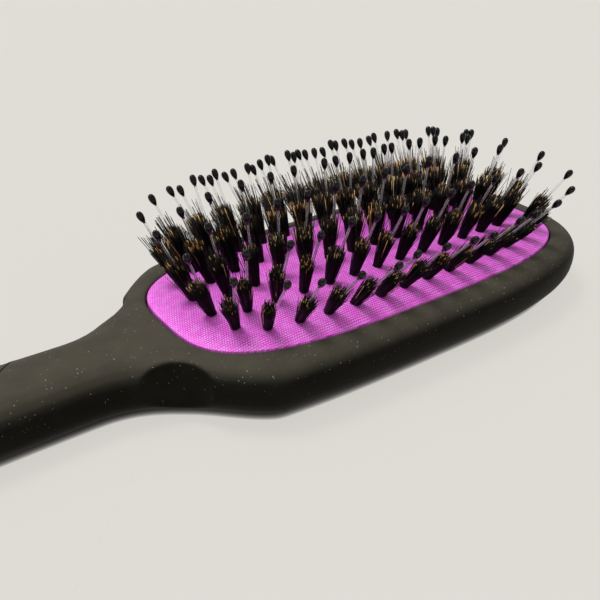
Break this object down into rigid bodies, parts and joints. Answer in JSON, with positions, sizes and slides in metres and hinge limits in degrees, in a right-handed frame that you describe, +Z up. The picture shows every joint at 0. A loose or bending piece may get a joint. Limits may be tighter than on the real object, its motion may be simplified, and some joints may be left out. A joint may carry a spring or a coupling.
{
  "type": "detangling brush",
  "caption": "Cushioned detangling hair brush with a soft black body, magenta knit cushion, bristle tufts and ball-tipped pins.",
  "frame": {"origin": "on the table below the middle of the brush's length and width", "axes": "+X along the brush from the handle to the end of the head, +Y across it, +Z up from the back to the bristles"},
  "size_m": [0.238, 0.066, 0.0394],
  "materials": {
    "soft_black": "soft-touch coating with a low sheen",
    "knit": "magenta knit over the rubber cushion",
    "bristle": "black bristles with clear nylon pins and black drop tips, standing on magenta knit"
  },
  "bodies": {
    "brush_body": {"brush_frame": "soft_black", "rear_grip": "soft_black", "cushion_edge": "knit"},
    "bristle_field": {"tuft_row_01": "bristle", "tuft_row_02": "bristle", "tuft_row_03": "bristle", "tuft_row_04": "bristle", "tuft_row_05": "bristle", "tuft_row_06": "bristle", "tuft_row_07": "bristle", "tuft_row_08": "bristle", "tuft_row_09": "bristle", "tuft_row_10": "bristle", "tuft_row_11": "bristle", "tuft_row_12": "bristle", "tuft_row_13": "bristle", "tuft_row_14": "bristle"}
  },
  "joints": [
    {"name": "cushion_press", "type": "slide", "parent": "brush_body", "child": "bristle_field", "axis": [0, 0, -1], "range_m": [0, 0.003], "stiffness_N_per_m": 3000, "springref_m": -0.0002, "deforming": ["cushion_edge"]}
  ]
}
